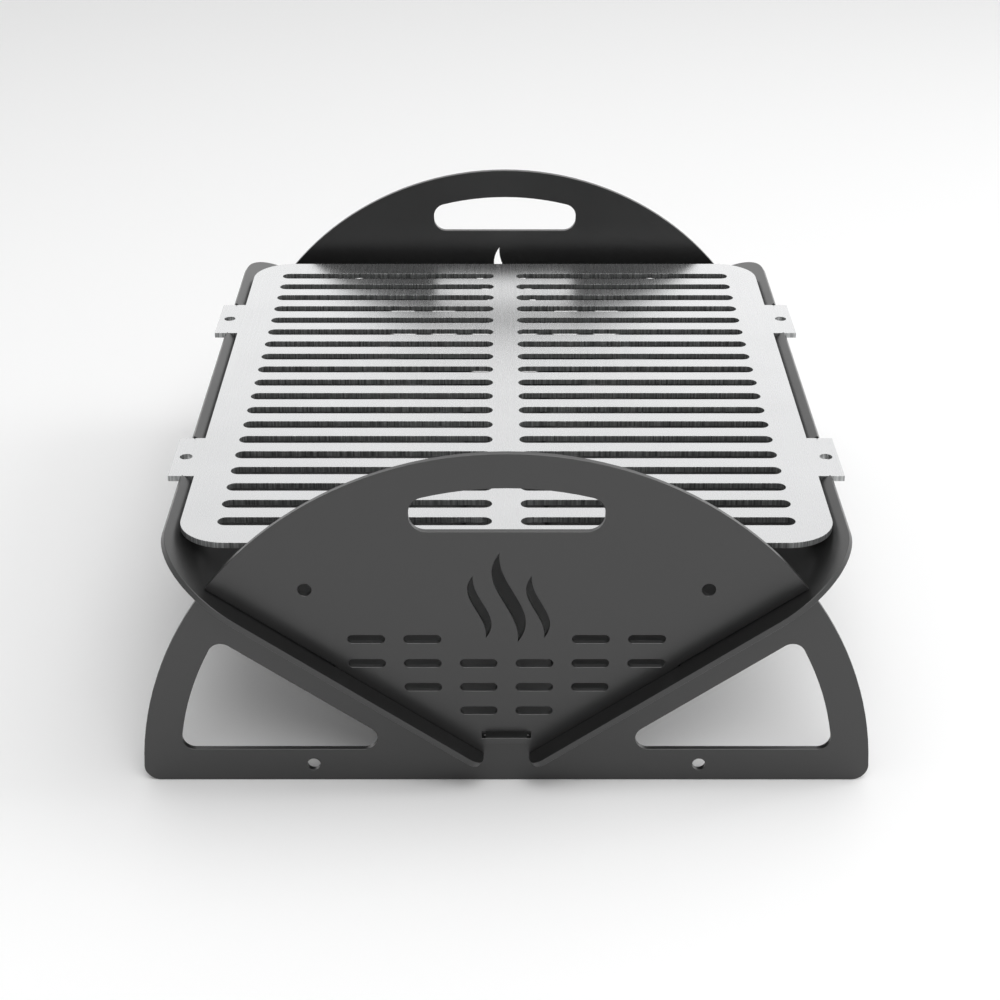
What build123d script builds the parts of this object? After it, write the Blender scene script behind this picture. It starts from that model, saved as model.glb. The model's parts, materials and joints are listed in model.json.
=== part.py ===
"""Slot-together camp grill cut from flat sheet.

Two half-disc end plates stand on edge and carry two leaning side panels, which form a V-shaped
fire pan.  Each panel and each end plate are half-lapped into one another.  A narrow strip closes
the bottom of the V, and a slotted cooking grate hangs by four tabs in notches of the panels.

Frame: origin on the ground at the middle of the footprint, +X to the right, +Y to the back
end plate, +Z up.  Millimetres and degrees.
"""
import os
from math import cos, radians, sin, sqrt

from build123d import *

# Stock and fits
sheet = 3.0  # thickness of every plate
half_lap_gap = 0.4  # clearance on each side of a plate in a half-lap slot
rest_gap = 0.1  # clearance where one piece rests on or beside another
edge_break = 0.15  # chamfer along every cut edge of the coated plates

# End plates
plate_radius = 180.0  # the half disc's outer radius, and so the grill's height
span = 423.0  # over the outer faces of the two end plates
foot_radius = 8.0  # rounding of the two ground corners
frame_width = 18.0  # width of the rim and of the foot around the leg windows
brace_depth = 13.6  # metal left in the leg below the line of the panels' slope
window_corner = 6.5
bolt_hole = 6.6  # diameter of every round hole
fan_hole_at = (96.0, 108.4)  # beside the centre line, above the ground
leg_hole_at = (95.5, 9.0)

# Hand hole near the top of each end plate
hand_hole_width = 92.0
hand_hole_floor = 139.5  # height of its flat lower edge
hand_hole_crown = 162.3  # radius of its curved upper edge about the plate's centre
hand_hole_corner = 8.0

# Air vents in each end plate, in a pattern that narrows towards the ground
vent_length = 18.0
vent_height = 4.5
vent_pitch = 27.0
vent_row_pitch = 13.5
vent_top_row = 81.2
vent_rows = ((1.5, 2.5), (0.5, 1.5, 2.5), (0.5, 1.5), (0.5,))  # columns, in pitches off centre

# Flame-shaped vents: one tall tongue between two short ones
flame_centre = (1.0, 104.0)
flame_height = 48.0
flame_sway = 9.0  # how far the lower tip stands to the right of the upper tip
flame_belly = 8.0  # how far each side bulges from the tongue's middle
side_flame_scale = 0.7
side_flame_offset = (14.0, 5.0)  # sideways and down from the tall tongue

# Side panels, leaning outwards
lean = 35.0  # slope of the panels above the ground
panel_rise = 3.5  # outer face's distance above the sloping line through the origin
panel_foot = 18.2  # lower edge, measured along the slope from the origin
panel_top = 206.8  # upper edge, measured the same way
panel_length = 448.5
panel_top_radius = 45.0
panel_foot_radius = 8.0
lap_meeting = 106.5  # where the panel's slot and the plate's slot end, along the slope

# Cooking grate
grate_top = 123.0  # height of its upper face
grate_width = 319.6
grate_length = 382.6
grate_corner = 24.0
grate_slot_width = 8.6
grate_slot_pitch = 18.77
grate_slot_rows = 19
grate_slot_inner = 7.1  # slot's end beside the centre rib
grate_slot_outer = 141.6  # slot's end beside the rim
tab_width = 45.4
tab_reach = 173.3  # tab's tip, from the centre line
tab_offset = 96.2  # tab's middle, from the middle of the grate
tab_hole_at = 166.9  # hole's distance from the centre line
notch_gap = 0.7  # clearance on each side of a tab in its notch
grate_edge_break = 0.05  # the stainless edges are only deburred

# Floor strip
strip_bottom = 24.4  # height of its lower face
strip_tab_width = 20.3
strip_tab_reach = 4.3  # how far the tab stands out of the end plate
strip_slot_width = 24.1
strip_slot_bottom = 24.3
strip_slot_top = 28.7

# Derived sizes
slope = radians(lean)
lap_width = sheet + 2 * half_lap_gap
plate_middle = span / 2 - sheet / 2  # an end plate's mid-plane
grate_underside = grate_top - sheet


def on_slope(along, above):
    """Return (x, z) on the right side, from distances along the slope and square to it."""
    return (along * cos(slope) - above * sin(slope), along * sin(slope) + above * cos(slope))


def inner_face_x(height):
    """Return the x of the right panel's inner face at a height above the ground."""
    return (height * cos(slope) - panel_rise - sheet) / sin(slope)


def cut_edges(plate):
    """Return the outlines, holes included, of a plate's two broad faces."""
    return plate.faces().sort_by(SortBy.AREA)[-2:].edges()


def hand_hole_profile():
    """Return the hand hole: flat below, curved with the rim above, rounded at the ends."""
    half = hand_hole_width / 2
    shoulder = sqrt(hand_hole_crown**2 - half**2)
    with BuildSketch() as profile:
        with BuildLine():
            Polyline((-half, shoulder), (-half, hand_hole_floor), (half, hand_hole_floor), (half, shoulder))
            ThreePointArc((half, shoulder), (0, hand_hole_crown), (-half, shoulder))
        make_face()
        fillet(profile.vertices(), radius=hand_hole_corner)
    return profile.sketch


def leg_window_profile():
    """Return the right leg's window, between the foot, the rim and the brace under the panel."""
    rim = plate_radius - frame_width
    inner = ((frame_width * cos(slope) + brace_depth) / sin(slope), frame_width)
    outer = (sqrt(rim**2 - frame_width**2), frame_width)
    upper = on_slope(sqrt(rim**2 - brace_depth**2), -brace_depth)
    with BuildSketch() as profile:
        with BuildLine():
            Polyline(upper, inner, outer)
            RadiusArc(outer, upper, -rim)
        make_face()
        fillet(profile.vertices(), radius=window_corner)
    return profile.sketch


def flame_profile():
    """Return the tall S-shaped tongue, centred on the sketch's origin."""
    upper_tip = Vector(-flame_sway / 2, flame_height / 2)
    belly = Vector(flame_belly, -flame_height / 4)
    neck = Vector(-flame_belly / 6, flame_height / 5)
    with BuildSketch() as profile:
        with BuildLine():
            Spline(-upper_tip, belly, neck, upper_tip)
            Spline(upper_tip, -belly, -neck, -upper_tip)
        make_face()
    return profile.sketch


hand_hole = hand_hole_profile()
leg_window = leg_window_profile()
tall_flame = flame_profile()
short_flame = tall_flame.scale(side_flame_scale)

# End plates: two copies of one blank, standing in line
for name, inner_face in (("end_plate_front", sheet - span / 2), ("end_plate_back", span / 2)):
    with BuildPart() as end_plate:
        with BuildSketch(Plane.XZ.offset(-inner_face)) as blank:
            with BuildLine():
                CenterArc((0, 0), plate_radius, 0, 180)
                Line((-plate_radius, 0), (plate_radius, 0))
            make_face()
            fillet(blank.vertices(), radius=foot_radius)
            add(hand_hole, mode=Mode.SUBTRACT)
            add(leg_window, mode=Mode.SUBTRACT)
            add(mirror(leg_window, about=Plane.YZ), mode=Mode.SUBTRACT)
            # Half-lap slots, open at the rim
            lap_depth = plate_radius - lap_meeting + half_lap_gap
            lap_x, lap_z = on_slope(lap_meeting - half_lap_gap + lap_depth, panel_rise + sheet / 2)
            for side in (1, -1):
                with Locations((side * lap_x, lap_z)):
                    Rectangle(2 * lap_depth, lap_width, rotation=side * lean, mode=Mode.SUBTRACT)
            # Round holes in the fan and in the feet
            for hole_x, hole_z in (fan_hole_at, leg_hole_at):
                with Locations((hole_x, hole_z), (-hole_x, hole_z)):
                    Circle(bolt_hole / 2, mode=Mode.SUBTRACT)
            # Slot for the floor strip's tab
            with Locations((0, (strip_slot_bottom + strip_slot_top) / 2)):
                Rectangle(strip_slot_width, strip_slot_top - strip_slot_bottom, mode=Mode.SUBTRACT)
            # Rows of vents
            for row, columns in enumerate(vent_rows):
                height = vent_top_row - row * vent_row_pitch
                for column in columns:
                    with Locations((column * vent_pitch, height), (-column * vent_pitch, height)):
                        SlotOverall(vent_length, vent_height, mode=Mode.SUBTRACT)
            # Flame-shaped vents
            with Locations(flame_centre):
                add(tall_flame, mode=Mode.SUBTRACT)
            flame_x, flame_z = flame_centre
            flame_aside, flame_below = side_flame_offset
            with Locations(
                (flame_x - flame_aside, flame_z - flame_below),
                (flame_x + flame_aside, flame_z - flame_below),
            ):
                add(short_flame, mode=Mode.SUBTRACT)
        extrude(amount=sheet)
        chamfer(cut_edges(end_plate), length=edge_break)
    end_plate.part.label = name
    os.makedirs("parts", exist_ok=True)
    export_step(end_plate.part, f"parts/{name}.step")

# Side panels: the sketch runs up the slope in x and along the grill in y
notch_foot = (grate_underside - rest_gap - (panel_rise + sheet) * cos(slope)) / sin(slope)
for name, side in (("side_panel_right", 1), ("side_panel_left", -1)):
    outer_x, outer_z = on_slope(0, panel_rise)
    outer_face = Plane(
        origin=(side * outer_x, 0, outer_z),
        x_dir=(side * cos(slope), 0, sin(slope)),
        z_dir=(-side * sin(slope), 0, cos(slope)),
    )
    with BuildPart() as side_panel:
        with BuildSketch(outer_face) as blank:
            with Locations(((panel_foot + panel_top) / 2, 0)):
                Rectangle(panel_top - panel_foot, panel_length)
            fillet(blank.vertices().group_by(Axis.X)[-1], radius=panel_top_radius)
            fillet(blank.vertices().group_by(Axis.X)[0], radius=panel_foot_radius)
            # Half-lap slots, open at the lower edge, that straddle the end plates
            lap_depth = lap_meeting + half_lap_gap - panel_foot
            with Locations((panel_foot, plate_middle), (panel_foot, -plate_middle)):
                Rectangle(2 * lap_depth, lap_width, mode=Mode.SUBTRACT)
            # Notches in the upper edge for the grate's tabs
            with Locations((panel_top, tab_offset), (panel_top, -tab_offset)):
                Rectangle(2 * (panel_top - notch_foot), tab_width + 2 * notch_gap, mode=Mode.SUBTRACT)
        extrude(amount=sheet)
        chamfer(cut_edges(side_panel), length=edge_break)
    side_panel.part.label = name
    export_step(side_panel.part, f"parts/{name}.step")

# Cooking grate
with BuildPart() as cooking_grate:
    with BuildSketch(Plane.XY.offset(grate_underside)) as blank:
        RectangleRounded(grate_width, grate_length, grate_corner)
        with Locations((0, tab_offset), (0, -tab_offset)):
            Rectangle(2 * tab_reach, tab_width)
        with GridLocations(2 * tab_hole_at, 2 * tab_offset, 2, 2):
            Circle(bolt_hole / 2, mode=Mode.SUBTRACT)
        slot_middle = (grate_slot_inner + grate_slot_outer) / 2
        with GridLocations(2 * slot_middle, grate_slot_pitch, 2, grate_slot_rows):
            SlotOverall(grate_slot_outer - grate_slot_inner, grate_slot_width, mode=Mode.SUBTRACT)
    extrude(amount=sheet)
    chamfer(cut_edges(cooking_grate), length=grate_edge_break)
cooking_grate.part.label = "cooking_grate"
export_step(cooking_grate.part, "parts/cooking_grate.step")

# Floor strip: lies in the bottom of the V and keys into both end plates
strip_width = 2 * inner_face_x(strip_bottom) - 4 * rest_gap
with BuildPart() as floor_strip:
    with BuildSketch(Plane.XY.offset(strip_bottom)):
        Rectangle(strip_width, span - 2 * sheet - 2 * rest_gap)
        Rectangle(strip_tab_width, span + 2 * strip_tab_reach)
    extrude(amount=sheet)
    chamfer(cut_edges(floor_strip), length=edge_break)
floor_strip.part.label = "floor_strip"
export_step(floor_strip.part, "parts/floor_strip.step")
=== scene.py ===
"""Looks of the slot-together camp grill: finishes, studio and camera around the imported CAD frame."""
import json
from math import radians

import bpy
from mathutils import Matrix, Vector

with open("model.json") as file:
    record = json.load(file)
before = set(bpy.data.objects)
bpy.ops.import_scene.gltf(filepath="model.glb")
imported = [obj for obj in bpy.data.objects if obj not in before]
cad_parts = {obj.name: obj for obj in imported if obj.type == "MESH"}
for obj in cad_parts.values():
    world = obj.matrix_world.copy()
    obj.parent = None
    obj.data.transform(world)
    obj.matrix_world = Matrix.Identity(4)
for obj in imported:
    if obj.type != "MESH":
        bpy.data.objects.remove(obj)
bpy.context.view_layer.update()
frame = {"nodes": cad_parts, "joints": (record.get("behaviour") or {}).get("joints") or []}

# Camera
camera_place = (-0.00316, -1.05037, 0.58317)
camera_pitch = 26.97  # degrees below the horizon, looking along +Y
camera_lens = 73.08  # mm, on a 36 mm sensor
camera_reach = 100  # m

# Studio
floor_half = 20.0
floor_drop = 0.0002  # keeps the floor clear of the feet resting on it
floor_fade = (2.6, 9.0)  # distances between which the floor fades into the walls
floor_colour = (0.92, 0.92, 0.92, 1)
sky_colour = (1, 1, 1, 1)
sky_even = 0.31  # the studio's own brightness on every side
sky_behind = 1.35  # what its back wall adds, fading with height
sky_right = 0.46  # what its right wall adds, fading with height too
sky_low = 0.5  # what every wall but the back one adds close to the floor
sky_low_falloff = 3  # how fast that glow fades with height
softboxes = {  # place, diameter and power
    "softbox_top": ((0.3, 0.0, 2.4), 3.0, 22.0),
    "softbox_right": ((2.2, 0.2, 1.6), 1.4, 17.0),
    "softbox_front": ((0.3, -1.6, 2.4), 2.0, 27.0),
}

# Patterns of both finishes: waves per metre, and their stretch as a share of those waves along each axis
noise_range = (0.3, 0.7)  # where nearly all of a noise's values lie

# Dark heat-resistant coat on the steel sheets
coat_colours = ((0.009, 0.009, 0.009, 1), (0.014, 0.014, 0.014, 1))
coat_roughness = (0.31, 0.36)
coat_ior = 1.68
peel_waves = 700  # orange peel
grain_waves = 3500
grain_share = 0.3  # of the coat's relief, and the rest is orange peel
smear_waves = 16
coat_relief = {"Strength": 0.25, "Distance": 0.00006}
chamfer_facing = 0.7  # a chamfer stands half way between a broad face, 1, and a cut wall, 0
chamfer_margin = (0.05, 0.2)  # differences from that between which the rubbing ends
rubbing = 0.8  # its greatest share of the colour
rubbed_colour = (0.02, 0.02, 0.02, 1)

# Brushed stainless steel of the grate
stainless_colours = ((0.70, 0.705, 0.71, 1), (0.77, 0.775, 0.78, 1))
stainless_roughness = (0.25, 0.29)
brushing_waves = 900
brushing_stretch = (1, 0.02, 0.02)  # long along the grate
brushing_relief = {"Strength": 0.06, "Distance": 0.00002}
cloud_waves = 22
wall_facing = (0.75, 0.95)  # facings between which a cut wall gives way to the broad face
wall_colours = ((0.20, 0.205, 0.205, 1), (0.59, 0.60, 0.60, 1))  # between the laser's ribs and on them
wall_extra_roughness = 0.2
rib_waves = 1100
rib_stretch = (1, 1, 0.03)  # upright


def add_node(tree, kind, inputs=None, **settings):
    """Add a shader node, set its properties, and fill or link its inputs by name or number."""
    node = tree.nodes.new(kind)
    for name, value in settings.items():
        setattr(node, name, value)
    for key, value in (inputs or {}).items():
        if isinstance(value, bpy.types.NodeSocket):
            tree.links.new(value, node.inputs[key])
        else:
            node.inputs[key].default_value = value
    return node


def new_material(name):
    """Return a new node material, its tree, its Principled shader and its coordinates."""
    material = bpy.data.materials.new(name)
    material.use_nodes = True
    tree = material.node_tree
    shader = tree.nodes["Principled BSDF"]
    place = add_node(tree, "ShaderNodeTexCoord")
    return material, tree, shader, place


def noise(tree, place, waves, detail=2.0, stretch=(1, 1, 1)):
    """Return the value of a noise with `waves` per metre, of which `stretch` is kept along each axis."""
    squeezed = add_node(tree, "ShaderNodeMapping", {"Vector": place.outputs["Object"], "Scale": stretch})
    inputs = {"Vector": squeezed.outputs["Vector"], "Scale": waves, "Detail": detail}
    return add_node(tree, "ShaderNodeTexNoise", inputs).outputs["Fac"]


def spread(tree, value, low, high, start=noise_range[0], stop=noise_range[1]):
    """Return `value` mapped from start..stop to low..high."""
    inputs = {"Value": value, "From Min": start, "From Max": stop, "To Min": low, "To Max": high}
    return add_node(tree, "ShaderNodeMapRange", inputs).outputs["Result"]


def blend(tree, share, first, second):
    """Return a colour, or a grey for a height, between first and second, each a colour or a socket."""
    # The Mix node's factor and colours go by number, because its other types' sockets share their names
    inputs = {0: share, 6: first, 7: second}
    return add_node(tree, "ShaderNodeMix", inputs, data_type="RGBA").outputs[2]


def maths(tree, operation, *values):
    """Return the result of a maths node on numbers or sockets."""
    return add_node(tree, "ShaderNodeMath", dict(enumerate(values)), operation=operation).outputs[0]


def bump(tree, relief, height):
    """Return the normal of a surface with a height pattern as relief."""
    return add_node(tree, "ShaderNodeBump", {**relief, "Height": height}).outputs["Normal"]


def broad_face_share(tree, place, normal):
    """Return how squarely the surface faces along its sheet's normal: 1 on its faces, 0 on cut walls."""
    inputs = {0: place.outputs["Normal"], 1: normal}
    along = add_node(tree, "ShaderNodeVectorMath", inputs, operation="DOT_PRODUCT")
    return maths(tree, "ABSOLUTE", along.outputs["Value"])


def coated_steel(name, normal):
    """Dark heat-resistant coat on steel sheet: satin, with orange peel and slightly rubbed edges."""
    material, tree, shader, place = new_material(name)
    peel = noise(tree, place, peel_waves)
    grain = noise(tree, place, grain_waves, detail=1)
    smears = noise(tree, place, smear_waves, detail=4)
    facing = broad_face_share(tree, place, normal)
    coat = blend(tree, smears, *coat_colours)
    # Only the chamfers are rubbed
    off_chamfer = maths(tree, "ABSOLUTE", maths(tree, "SUBTRACT", facing, chamfer_facing))
    rubbed = maths(tree, "MULTIPLY", spread(tree, off_chamfer, rubbing, 0.0, *chamfer_margin), smears)
    relief = blend(tree, grain_share, peel, grain)
    tree.links.new(blend(tree, rubbed, coat, rubbed_colour), shader.inputs["Base Color"])
    tree.links.new(spread(tree, smears, *coat_roughness), shader.inputs["Roughness"])
    tree.links.new(bump(tree, coat_relief, relief), shader.inputs["Normal"])
    shader.inputs["IOR"].default_value = coat_ior
    return material


def brushed_stainless(name, normal):
    """Stainless sheet, brushed lengthwise, with duller cut walls ribbed by the laser."""
    material, tree, shader, place = new_material(name)
    brushing = noise(tree, place, brushing_waves, stretch=brushing_stretch)
    ribs = noise(tree, place, rib_waves, detail=1, stretch=rib_stretch)
    clouds = noise(tree, place, cloud_waves, detail=3)
    cut = spread(tree, broad_face_share(tree, place, normal), 1.0, 0.0, *wall_facing)
    sheet = blend(tree, clouds, *stainless_colours)
    wall = blend(tree, spread(tree, ribs, 0.0, 1.0), *wall_colours)
    polish = spread(tree, brushing, *stainless_roughness)
    roughness = maths(tree, "MULTIPLY_ADD", cut, wall_extra_roughness, polish)
    tree.links.new(blend(tree, cut, sheet, wall), shader.inputs["Base Color"])
    tree.links.new(roughness, shader.inputs["Roughness"])
    tree.links.new(bump(tree, brushing_relief, brushing), shader.inputs["Normal"])
    shader.inputs["Metallic"].default_value = 1.0
    return material


def dress(node, material):
    """Give a CAD node its material."""
    frame["nodes"][node].material_slots[0].material = material


def dress_grill():
    """Give every sheet the finish of its metal, with the sheet's own normal."""
    plates = coated_steel("coat_on_end_plates", (0, 1, 0))
    dress("end_plate_front", plates)
    dress("end_plate_back", plates)
    dress("floor_strip", coated_steel("coat_on_floor_strip", (0, 0, 1)))
    slopes = {joint["child"]: Vector(joint["axis"]) for joint in frame["joints"]}
    for side in ("left", "right"):
        normal = slopes[f"{side}_panel"].cross(Vector((0, 1, 0)))
        dress(f"side_panel_{side}", coated_steel(f"coat_on_{side}_panel", normal))
    dress("cooking_grate", brushed_stainless("brushed_stainless", (0, 0, 1)))


def add_floor():
    """Lay a wide, plain, pale floor under the feet, which fades into the walls far from the grill."""
    directions = [(-1, -1), (1, -1), (1, 1), (-1, 1)]
    corners = [(floor_half * x, floor_half * y, -floor_drop) for x, y in directions]
    mesh = bpy.data.meshes.new("studio_floor")
    mesh.from_pydata(corners, [], [(0, 1, 2, 3)])
    floor = bpy.data.objects.new("studio_floor", mesh)
    bpy.context.scene.collection.objects.link(floor)
    material, tree, shader, place = new_material("studio_floor")
    away = add_node(tree, "ShaderNodeVectorMath", {0: place.outputs["Object"]}, operation="LENGTH")
    tree.links.new(spread(tree, away.outputs["Value"], 1, 0, *floor_fade), shader.inputs["Alpha"])
    shader.inputs["Base Color"].default_value = floor_colour
    shader.inputs["Roughness"].default_value = 1.0
    shader.inputs["Specular IOR Level"].default_value = 0.0
    mesh.materials.append(material)


def add_sky():
    """Light the scene evenly, with walls that glow near the floor, most of all behind and to the right."""
    world = bpy.data.worlds.new("studio")
    bpy.context.scene.world = world
    world.use_nodes = True
    tree = world.node_tree
    place = add_node(tree, "ShaderNodeTexCoord")
    parts = add_node(tree, "ShaderNodeSeparateXYZ", {0: place.outputs["Generated"]}).outputs
    right, behind, up = [maths(tree, "MAXIMUM", part, 0) for part in parts]
    fading = maths(tree, "SUBTRACT", 1, up)
    low = maths(tree, "MULTIPLY", maths(tree, "SUBTRACT", 1, behind), sky_low)
    glow = maths(tree, "MULTIPLY_ADD", low, maths(tree, "POWER", fading, sky_low_falloff), sky_even)
    for direction, strength in ((behind, sky_behind), (right, sky_right)):
        wall = maths(tree, "MULTIPLY", direction, fading)
        glow = maths(tree, "MULTIPLY_ADD", wall, strength, glow)
    background = tree.nodes["Background"]
    background.inputs["Color"].default_value = sky_colour
    tree.links.new(glow, background.inputs["Strength"])


def add_softboxes():
    """Hang the round softboxes, each facing the grill."""
    for name, (place, diameter, power) in softboxes.items():
        light = bpy.data.lights.new(name, "AREA")
        light.shape = "DISK"
        light.size = diameter
        light.energy = power
        softbox = bpy.data.objects.new(name, light)
        softbox.location = place
        softbox.rotation_euler = (-Vector(place)).to_track_quat("-Z", "Y").to_euler()
        bpy.context.scene.collection.objects.link(softbox)


def add_camera():
    """Set the camera at the photograph's viewing angle."""
    data = bpy.data.cameras.new("camera")
    data.lens = camera_lens
    data.clip_end = camera_reach
    camera = bpy.data.objects.new("camera", data)
    camera.location = camera_place
    camera.rotation_euler = (radians(90 - camera_pitch), 0, 0)
    bpy.context.scene.collection.objects.link(camera)
    bpy.context.scene.camera = camera


add_camera()
add_floor()
add_sky()
add_softboxes()
dress_grill()
bpy.context.scene.view_settings.view_transform = "Standard"
